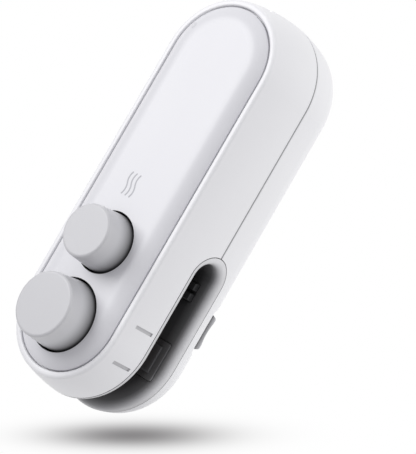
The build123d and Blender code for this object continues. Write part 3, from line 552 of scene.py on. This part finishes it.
# ---- Pieces that repeat -------------------------------------------------
class Tree(Nodes):
    """A Geometry Nodes group with named inputs."""

    def __init__(self, name):
        self.tree = bpy.data.node_groups.new(name, "GeometryNodeTree")
        self.keys = {}
        self.tree.interface.new_socket("Geometry", in_out="INPUT", socket_type="NodeSocketGeometry")
        self.tree.interface.new_socket("Geometry", in_out="OUTPUT", socket_type="NodeSocketGeometry")
        self.inputs = self.tree.nodes.new("NodeGroupInput")

    def given(self, name, kind="Float"):
        socket = self.tree.interface.new_socket(name, in_out="INPUT", socket_type="NodeSocket" + kind)
        self.keys[name] = socket.identifier
        return Wire(self, self.inputs.outputs[name])

    def ends_with(self, shape):
        """Last nodes: real geometry and one material."""
        real = self.node("GeometryNodeRealizeInstances", inputs={0: shape})
        finish = self.given("Finish", "Material")
        done = self.node("GeometryNodeSetMaterial", inputs={"Geometry": real, "Material": finish})
        self.node("NodeGroupOutput", inputs={0: done})

    def grow(self, name, finish, **values):
        """Run the tree once and keep what it makes as a plain mesh object."""
        seed = linked(name + "_seed", bpy.data.meshes.new(name + "_seed"))
        modifier = seed.modifiers.new("tree", "NODES")
        modifier.node_group = self.tree
        for key, value in {"Finish": finish, **values}.items():
            modifier[self.keys[key.replace("_", " ")]] = value
        graph = bpy.context.evaluated_depsgraph_get()
        mesh = bpy.data.meshes.new_from_object(seed.evaluated_get(graph))
        bpy.data.objects.remove(seed)
        return linked(name, mesh)


def linked(name, data):
    """New object in the scene for a mesh, a lamp or a camera."""
    obj = bpy.data.objects.new(name, data)
    bpy.context.scene.collection.objects.link(obj)
    return obj


def solid_boxes(node):
    """(lowest corner, highest corner) of each separate solid of a CAD node."""
    work = bmesh.new()
    work.from_mesh(frame["nodes"][node].data)
    bmesh.ops.remove_doubles(work, verts=work.verts, dist=0.001 * MM)
    left, boxes = set(work.verts), []
    while left:
        island, edge = set(), [left.pop()]
        while edge:
            vertex = edge.pop()
            island.add(vertex)
            for link in vertex.link_edges:
                other = link.other_vert(vertex)
                if other in left:
                    left.discard(other)
                    edge.append(other)
        corners = list(zip(*(v.co for v in island)))
        boxes.append((Vector([min(c) for c in corners]), Vector([max(c) for c in corners])))
    work.free()
    return sorted(boxes, key=lambda box: tuple(round(c, 5) for c in box[0]))


def ring(work, radius, height, count=HEAD_SIDES):
    angles = (2.0 * math.pi * k / count for k in range(count))
    return [work.verts.new((radius * math.cos(a), radius * math.sin(a), height)) for a in angles]


def skin(work, lower, upper):
    """Quads between two closed loops of the same length."""
    for k in range(len(lower)):
        n = (k + 1) % len(lower)
        work.faces.new((lower[k], lower[n], upper[n], upper[k]))


def loop_edges(work, loop):
    pairs = zip(loop, loop[1:] + loop[:1])
    return [work.edges.get(pair) or work.edges.new(pair) for pair in pairs]


def cross_loop(work, reach, half, height):
    """Outline of a four-armed recess."""
    corners = []
    for k in range(4):
        turn = Matrix.Rotation(k * math.pi / 2, 3, "Z")
        for point in ((reach, -half), (reach, half), (half, half)):
            corners.append(work.verts.new(turn @ Vector((*point, height))))
    return corners


def mesh_of(name, work):
    """Finished mesh from a work mesh, faces outwards."""
    bmesh.ops.recalc_face_normals(work, faces=work.faces)
    mesh = bpy.data.meshes.new(name)
    work.to_mesh(mesh)
    work.free()
    return mesh


def thread(work, shank, length, pitch):
    """Closed threaded shank from a blunt tip at z = 0."""
    rows = max(FEWEST_ROWS, round((length - 2 * pitch) / pitch * ROWS_PER_TURN))
    rings = []
    for row in range(rows + 1):
        z = row * (length / rows)
        point = min(1.0, TIP_SHARE + z / (TIP_TURNS * pitch))
        loop = ring(work, 1.0, z, THREAD_SIDES)
        for k, vertex in enumerate(loop):
            phase = (z / pitch - k / len(loop)) % 1.0
            ridge = 1.0 - RIDGE * abs(2.0 * phase - 1.0)
            vertex.co.x *= shank * ridge * point
            vertex.co.y *= shank * ridge * point
        rings.append(loop)
    for lower, upper in zip(rings, rings[1:]):
        skin(work, lower, upper)
    work.faces.new(reversed(rings[0]))
    work.faces.new(rings[-1])


def screw_mesh(name, shank, length, head, head_height, pitch):
    """Pan-head screw with a cross recess, standing on its tip at z = 0."""
    work = bmesh.new()
    thread(work, shank, length, pitch)
    loops = [ring(work, head * out, length + head_height * up) for out, up in HEAD_RINGS]
    work.faces.new(reversed(loops[0]))
    for lower, upper in zip(loops, loops[1:]):
        skin(work, lower, upper)
    top = length + head_height
    outline = cross_loop(work, *(head * share for share in RECESS_TOP), top)
    floor = cross_loop(work, *(head * share for share in RECESS_FLOOR), top - head_height * RECESS_DEPTH)
    rim = loop_edges(work, loops[-1]) + loop_edges(work, outline)
    bmesh.ops.triangle_fill(work, edges=rim, use_beauty=True)
    skin(work, floor, outline)
    bmesh.ops.triangle_fill(work, edges=loop_edges(work, floor), use_beauty=True)
    mesh = mesh_of(name, work)
    for face in mesh.polygons:
        face.use_smooth = face.area < SMOOTH_UNDER ** 2
    return mesh


def stand_tree():
    """One copy of a shape stood on every vertex of a plan, each turned by up to a given angle."""
    tree = Tree("stood_on_plan")
    plan, shape = tree.given("Plan", "Object"), tree.given("Shape", "Object")
    points = tree.node("GeometryNodeObjectInfo", inputs={"Object": plan}, out="Geometry")
    one = tree.node("GeometryNodeObjectInfo", inputs={"Object": shape}, out="Geometry")
    range_of = {2: 0.0, 3: tree.given("Most turn"), "Seed": tree.given("Seed", "Int")}
    spin = tree.node("FunctionNodeRandomValue", {"data_type": "FLOAT"}, range_of, out=1)
    turn = tree.node("ShaderNodeCombineXYZ", inputs={0: tree.given("Tip over"), 1: 0.0, 2: spin})
    placing = {"Points": points, "Instance": one, "Rotation": turn}
    tree.ends_with(tree.node("GeometryNodeInstanceOnPoints", inputs=placing))
    return tree


STAND = stand_tree()


def stood(name, mesh, places, finish, seed=0, most_turn=0.0, over=0.0):
    """Copies of a mesh at the given places, as one piece."""
    shape = linked(name + "_one", mesh)
    plan_mesh = bpy.data.meshes.new(name + "_plan")
    plan_mesh.from_pydata(places, [], [])
    plan = linked(name + "_plan", plan_mesh)
    piece = STAND.grow(name, finish, Plan=plan, Shape=shape, Seed=seed, Most_turn=most_turn, Tip_over=over)
    bpy.data.objects.remove(plan)
    bpy.data.objects.remove(shape)
    return piece


def screw_set(node, shank, head_height, pitch, tip_up, seed):
    """Replace a node of plain screws by threaded ones at the same places."""
    boxes = solid_boxes(node)
    low, high = boxes[0]
    length = high.z - low.z - head_height
    mesh = screw_mesh(node + "_mesh", shank, length, (high.x - low.x) / 2, head_height, pitch)
    places = [Vector((*((a + b) / 2).xy, b.z if tip_up else a.z)) for a, b in boxes]
    over = math.pi if tip_up else 0.0
    piece = stood("threaded_" + node, mesh, places, FINISHES["screw_steel"], seed, 2.0 * math.pi, over)
    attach(piece, "case")
    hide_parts(node)


screw_set("case_screws", 1.15 * MM, 1.5 * MM, 0.8 * MM, tip_up=True, seed=3)
screw_set("frame_screws", 0.95 * MM, 1.3 * MM, 0.7 * MM, tip_up=False, seed=5)
screw_set("board_screws", 0.95 * MM, 1.3 * MM, 0.7 * MM, tip_up=False, seed=8)


def leaf_mesh(length, width, thickness, hump):
    """Sprung contact leaf along Y, bowed up in the middle and narrower on top."""
    work = bmesh.new()
    steps, foot, top = 12, width / 2, width * 0.4
    loops = []
    for k in range(steps + 1):
        t = k / steps
        y, z = (t - 0.5) * length, hump * math.sin(math.pi * t) ** 2
        corners = ((-foot, z), (foot, z), (top, z + thickness), (-top, z + thickness))
        loops.append([work.verts.new((x, y, h)) for x, h in corners])
    for lower, upper in zip(loops, loops[1:]):
        skin(work, lower, upper)
    work.faces.new(loops[0])
    work.faces.new(reversed(loops[-1]))
    return mesh_of("contact_leaf", work)


def port_contacts(count=5, pitch=0.65 * MM, length=3.2 * MM):
    """Row of sprung leaves on the tongue of the charging socket."""
    low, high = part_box("usb_socket")
    middle = (Vector(low) + Vector(high)) / 2
    tongue_top = middle.z + TONGUE_HALF
    leaf_y = high[1] - TONGUE_SETBACK - length / 2
    places = [Vector(((k - (count - 1) / 2) * pitch, leaf_y, tongue_top)) for k in range(count)]
    mesh = leaf_mesh(length, width=0.36 * MM, thickness=0.06 * MM, hump=0.16 * MM)
    piece = stood("port_contacts", mesh, places, FINISHES["contact_brass"])
    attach(piece, "case")


port_contacts()


def coil_tree():
    """Compression spring: the end turns close up, the middle ones are open."""
    tree = Tree("coil_spring")
    radius, height, wire = tree.given("Radius"), tree.given("Height"), tree.given("Wire")
    turns, middle = tree.given("Turns"), tree.given("Foot", "Vector")
    line = tree.node("GeometryNodeCurvePrimitiveLine", inputs={"Start": (0, 0, 0), "End": (0, 0, 1)})
    fine = tree.node("GeometryNodeResampleCurve", inputs={"Curve": line, "Count": COIL_RINGS})
    t = tree.node("GeometryNodeSplineParameter")
    angle = t * turns * (2.0 * math.pi)
    ease = (t * (2.0 * math.pi)).sine() / (2.0 * math.pi) * CLOSE_UP + t
    across, along = radius * tree.maths("COSINE", angle), radius * angle.sine()
    up = ease * (height - wire) + wire * 0.5
    place = tree.node("ShaderNodeCombineXYZ", inputs={0: across, 1: along, 2: up})
    route = tree.node("GeometryNodeSetPosition", inputs={"Geometry": fine, "Position": place})
    round_wire = {"Resolution": WIRE_SIDES, "Radius": wire * 0.5}
    section = tree.node("GeometryNodeCurvePrimitiveCircle", inputs=round_wire)
    swept = {"Curve": route, "Profile Curve": section, "Fill Caps": True}
    coil = tree.node("GeometryNodeCurveToMesh", inputs=swept)
    moved = tree.node("GeometryNodeTransform", inputs={"Geometry": coil, "Translation": middle})
    tree.ends_with(tree.node("GeometryNodeSetShadeSmooth", inputs={"Geometry": moved}))
    return tree


COIL = coil_tree()


def spring(node, wire=0.9 * MM, turns=8.0):
    """Coil that shortens with its button."""
    low, high = (Vector(corner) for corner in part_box(node))
    middle = (low + high) / 2
    foot, head = (middle.x, middle.y, low.z), (middle.x, middle.y, high.z)
    piece = COIL.grow("coil_" + node, FINISHES["spring_steel"], Radius=(high.x - low.x - wire) / 2,
                      Height=high.z - low.z, Wire=wire, Turns=turns, Foot=foot)
    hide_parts(node)
    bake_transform(piece)


spring("seal_spring")
spring("cut_spring")


# ---- Floor, light and camera --------------------------------------------
def make_floor():
    """White floor with one painted soft shadow under the nose."""
    mesh = bpy.data.meshes.new("floor")
    corners = [(-1, -1), (1, -1), (1, 1), (-1, 1)]
    places = [(x * FLOOR_REACH, y * FLOOR_REACH, -FLOOR_DROP) for x, y in corners]
    mesh.from_pydata(places, [], [(0, 1, 2, 3)])
    floor = linked("floor", mesh)
    f = Finish("floor_card")
    centre, long_way = Vector(SHADOW_CENTRE) * MM, Vector((*SHADOW_WAY, 0)).normalized()
    short_way = Vector((-long_way.y, long_way.x, 0))
    offset = f.node("ShaderNodeVectorMath", {"operation": "SUBTRACT"}, {0: f.place, 1: centre})

    def along(way, half):
        """Distance along one way of the shadow, in its own half sizes."""
        inputs = {0: offset, 1: way}
        return f.node("ShaderNodeVectorMath", {"operation": "DOT_PRODUCT"}, inputs, out="Value") / half

    a = along(long_way, SHADOW_HALF_LENGTH * MM)
    b = along(short_way, SHADOW_HALF_WIDTH * MM)
    # Painted shadow: a soft dark ellipse on the white floor.
    dark = 1.0 - (1.0 - (a * a + b * b).falloff() * SHADOW_DEPTH) ** 2.2
    tone = f.blend(dark, (1.0, 1.0, 1.0), SHADOW_COLOUR)
    mesh.materials.append(f.shown(f.node("ShaderNodeEmission", inputs={"Color": tone})))


def area_light(name, towards, distance, size, watts):
    """Soft round lamp that faces the middle of the body."""
    way = Vector(towards).normalized()
    data = bpy.data.lights.new(name, "AREA")
    data.shape = "DISK"
    data.size = size
    data.energy = watts
    lamp = linked(name, data)
    lamp.location = LAMP_AIM + way * distance
    lamp.rotation_euler = way.to_track_quat("Z", "Y").to_euler()


def make_world():
    """White surroundings for the camera, softer light for the object."""
    world = bpy.data.worlds.new("studio")
    bpy.context.scene.world = world
    world.use_nodes = True
    sky = Nodes()
    sky.tree = world.node_tree
    sky.tree.nodes.clear()
    seen = sky.node("ShaderNodeBackground", inputs={"Color": (1.0, 1.0, 1.0, 1.0)})
    round_light = {"Color": LIT_FROM_ROUND, "Strength": ROUND_STRENGTH}
    lit = sky.node("ShaderNodeBackground", inputs=round_light)
    from_camera = sky.node("ShaderNodeLightPath", out="Is Camera Ray")
    mixed = sky.node("ShaderNodeMixShader", inputs={0: from_camera, 1: lit, 2: seen})
    sky.node("ShaderNodeOutputWorld", inputs={"Surface": mixed})


def make_camera():
    """Camera turned and tilted about the body's middle, then rolled."""
    data = bpy.data.cameras.new("camera")
    data.sensor_width = SENSOR_WIDTH
    data.lens = LENS
    data.clip_start = 0.01
    camera = linked("camera", data)
    turn = Matrix.Rotation(VIEW_AZIMUTH, 4, "Z") @ Matrix.Rotation(math.pi / 2 - VIEW_ELEVATION, 4, "X")
    turn = turn @ Matrix.Rotation(VIEW_ROLL, 4, "Z")
    camera.matrix_world = Matrix.Translation(VIEW_PIVOT + turn @ VIEW_PLACE) @ turn
    bpy.context.scene.camera = camera


make_floor()
area_light("key", towards=(-0.65, 0.25, 1.0), distance=0.9, size=0.6, watts=4.8)
area_light("side", towards=(0.78, 0.72, 0.13), distance=1.1, size=0.9, watts=3.7)
make_world()
make_camera()
bpy.context.scene.view_settings.view_transform = "Standard"
bpy.context.view_layer.update()
